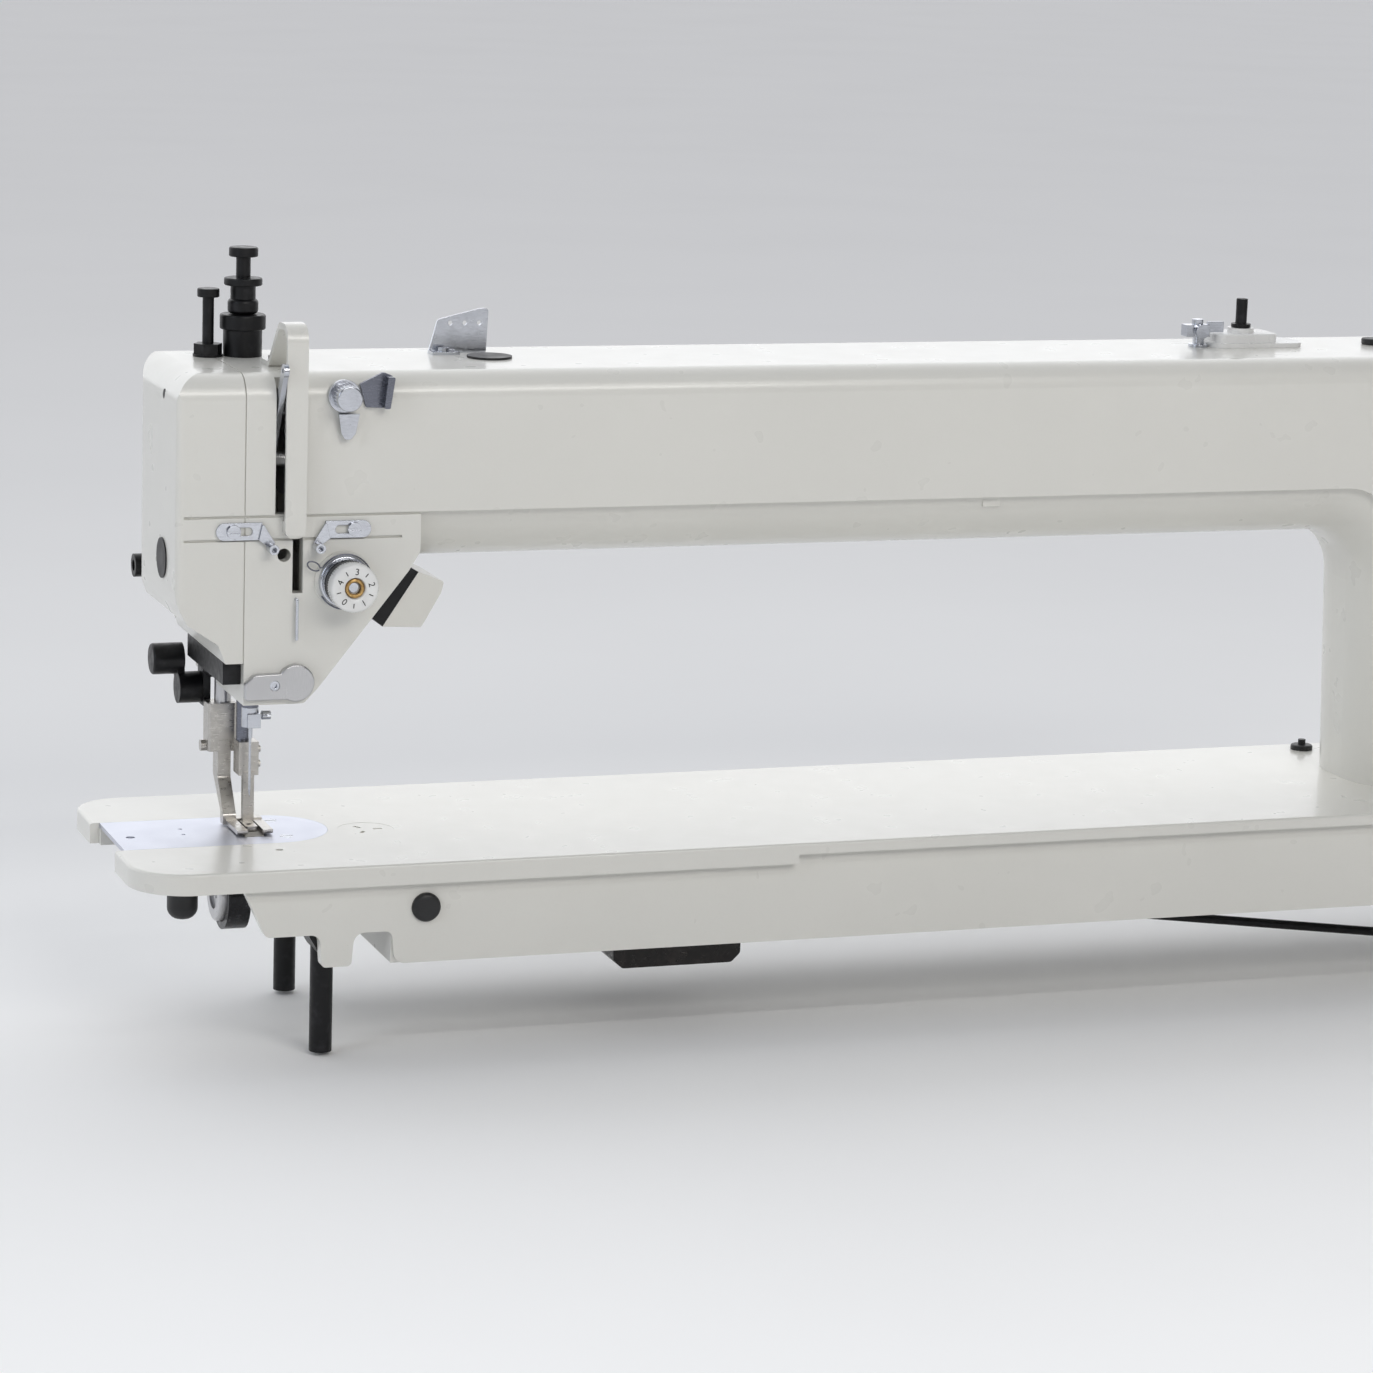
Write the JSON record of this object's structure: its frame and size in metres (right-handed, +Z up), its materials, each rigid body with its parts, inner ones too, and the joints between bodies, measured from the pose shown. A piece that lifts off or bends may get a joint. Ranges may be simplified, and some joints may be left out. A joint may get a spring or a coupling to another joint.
{
  "type": "leather sewing machine",
  "caption": "Long-arm flat-bed sewing machine head for leather, with a compound walking foot, thread controls, bobbin winder and belt-driven hook.",
  "frame": {"origin": "the needle's drop point on the bed's top face", "axes": "+X along the arm to the pillar and handwheel, +Y away from the operator, +Z up"},
  "size_m": [0.8856, 0.1994, 0.4134],
  "materials": {
    "cream_enamel": "semi-gloss cream enamel with fine orange peel",
    "plate_steel": "ground and brushed",
    "polished_steel": "polished and plated",
    "machined_steel": "machined",
    "blackened_steel": "black oxide, satin",
    "bronze": "sintered bronze",
    "black_rubber": "matt moulded rubber",
    "pale_plastic": "moulded",
    "dark_plastic": "moulded, fine texture",
    "aluminium": "turned",
    "dark_wheel": "satin black paint"
  },
  "bodies": {
    "frame": {"bed_casting": "cream_enamel", "arm_casting": "cream_enamel", "face_cover": "cream_enamel", "rear_cover": "cream_enamel", "take_up_guard": "cream_enamel", "lamp_housing": "cream_enamel", "needle_plate": "plate_steel", "link_cover": "polished_steel", "thread_guides": "polished_steel", "tension_base": "polished_steel", "pretension_base": "polished_steel", "bright_screws": "polished_steel", "winder_tension_post": "polished_steel", "bobbin_case": "machined_steel", "fixed_pivots": "machined_steel", "presser_spring": "machined_steel", "bed_cap": "machined_steel", "black_screws": "blackened_steel", "bar_guide_block": "blackened_steel", "lamp_bracket": "blackened_steel", "regulator_sleeve": "blackened_steel", "pretension_plate": "blackened_steel", "oil_pan": "blackened_steel", "support_legs": "blackened_steel", "under_brackets": "blackened_steel", "stop_screw": "blackened_steel", "bushes": "bronze", "black_plugs": "black_rubber", "timing_belt": "black_rubber", "winder_base": "pale_plastic", "oil_caps": "pale_plastic"},
    "slide_plate": {"slide_plate": "plate_steel"},
    "feed": {"feed_dog": "machined_steel"},
    "feed_rock": {"feed_rock_shaft": "machined_steel"},
    "drive": {"main_shaft": "machined_steel", "needle_crank": "machined_steel", "upper_pulley": "aluminium", "handwheel": "dark_wheel"},
    "hook": {"hook_shaft": "machined_steel", "lower_pulley": "aluminium", "rotary_hook": "machined_steel"},
    "needle_bar": {"needle_bar": "polished_steel", "needle_bar_link": "polished_steel", "needle_clamp": "polished_steel", "needle": "polished_steel"},
    "take_up": {"take_up_lever": "polished_steel"},
    "walking_foot": {"walking_bar": "polished_steel", "inner_foot": "machined_steel"},
    "presser": {"presser_bar": "polished_steel", "outer_foot_holder": "machined_steel", "outer_foot": "machined_steel"},
    "hand_lifter": {"hand_lifter": "blackened_steel"},
    "tension_dial": {"tension_dial": "pale_plastic"},
    "check_spring": {"check_spring": "polished_steel"},
    "pretension_knob": {"pretension_knob": "polished_steel"},
    "regulator": {"regulator_screw": "blackened_steel"},
    "winder": {"winder_spindle": "blackened_steel"},
    "stitch_dial": {"stitch_dial": "dark_plastic"},
    "reverse_lever": {"reverse_lever": "blackened_steel"},
    "knee_rod": {"knee_lift_rod": "blackened_steel"}
  },
  "joints": [
    {"name": "slide_plate_slide", "type": "slide", "parent": "frame", "child": "slide_plate", "axis": [-1, 0, 0], "range_m": [0, 0.055]},
    {"name": "feed_slide", "type": "slide", "parent": "frame", "child": "feed", "axis": [0, 1, 0], "range_m": [-0.0035, 0.0035]},
    {"name": "feed_rock_turn", "type": "hinge", "parent": "frame", "child": "feed_rock", "pos_m": [0.3, 0.02, -0.044], "axis": [1, 0, 0], "range_deg": [-7.5, 7.5]},
    {"name": "drive_spin", "type": "hinge", "parent": "frame", "child": "drive", "pos_m": [0.4, 0, 0.205], "axis": [1, 0, 0], "continuous": true},
    {"name": "hook_spin", "type": "hinge", "parent": "frame", "child": "hook", "pos_m": [0.3, 0, -0.033], "axis": [1, 0, 0], "continuous": true},
    {"name": "needle_bar_slide", "type": "slide", "parent": "frame", "child": "needle_bar", "axis": [0, 0, 1], "range_m": [-0.036, 0]},
    {"name": "take_up_swing", "type": "hinge", "parent": "frame", "child": "take_up", "pos_m": [0.0014, -0.031, 0.203], "axis": [1, 0, 0], "range_deg": [0, 100]},
    {"name": "walking_foot_slide", "type": "slide", "parent": "frame", "child": "walking_foot", "axis": [0, 0, 1], "range_m": [0, 0.006]},
    {"name": "presser_slide", "type": "slide", "parent": "frame", "child": "presser", "axis": [0, 0, 1], "range_m": [0, 0.009], "deforming": ["presser_spring"]},
    {"name": "hand_lifter_turn", "type": "hinge", "parent": "frame", "child": "hand_lifter", "pos_m": [-0.023, 0.044, 0.069], "axis": [1, 0, 0], "range_deg": [-50, 0]},
    {"name": "tension_dial_turn", "type": "hinge", "parent": "frame", "child": "tension_dial", "pos_m": [0.036, -0.067, 0.142], "axis": [0, 1, 0], "range_deg": [-150, 150]},
    {"name": "check_spring_swing", "type": "hinge", "parent": "frame", "child": "check_spring", "pos_m": [0.036, -0.054, 0.142], "axis": [0, 1, 0], "range_deg": [-30, 0], "stiffness_Nm_per_rad": 0.01, "springref_deg": 22.92},
    {"name": "pretension_knob_turn", "type": "hinge", "parent": "frame", "child": "pretension_knob", "pos_m": [0.0345, -0.06, 0.238], "axis": [0, 1, 0], "range_deg": [-150, 150]},
    {"name": "regulator_turn", "type": "hinge", "parent": "frame", "child": "regulator", "pos_m": [0, 0.026, 0.27], "axis": [0, 0, 1], "range_deg": [-180, 180]},
    {"name": "winder_spin", "type": "hinge", "parent": "frame", "child": "winder", "pos_m": [0.575, 0.018, 0.26], "axis": [0, 0, 1], "continuous": true},
    {"name": "stitch_dial_turn", "type": "hinge", "parent": "frame", "child": "stitch_dial", "pos_m": [0.695, -0.057, 0.125], "axis": [0, 1, 0], "range_deg": [-150, 150]},
    {"name": "reverse_lever_press", "type": "hinge", "parent": "frame", "child": "reverse_lever", "pos_m": [0.695, -0.029, 0.062], "axis": [1, 0, 0], "range_deg": [0, 12], "stiffness_Nm_per_rad": 2, "springref_deg": -8.59},
    {"name": "knee_rod_slide", "type": "slide", "parent": "frame", "child": "knee_rod", "axis": [0.9922, 0, -0.125], "range_m": [-0.012, 0]}
  ],
  "couplings": [
    {"joint": "feed_slide", "follows": "feed_rock_turn", "m_per_rad": -0.0265},
    {"joint": "hook_spin", "follows": "drive_spin", "ratio": 2},
    {"joint": "presser_slide", "follows": "hand_lifter_turn", "m_per_rad": -0.0103}
  ]
}
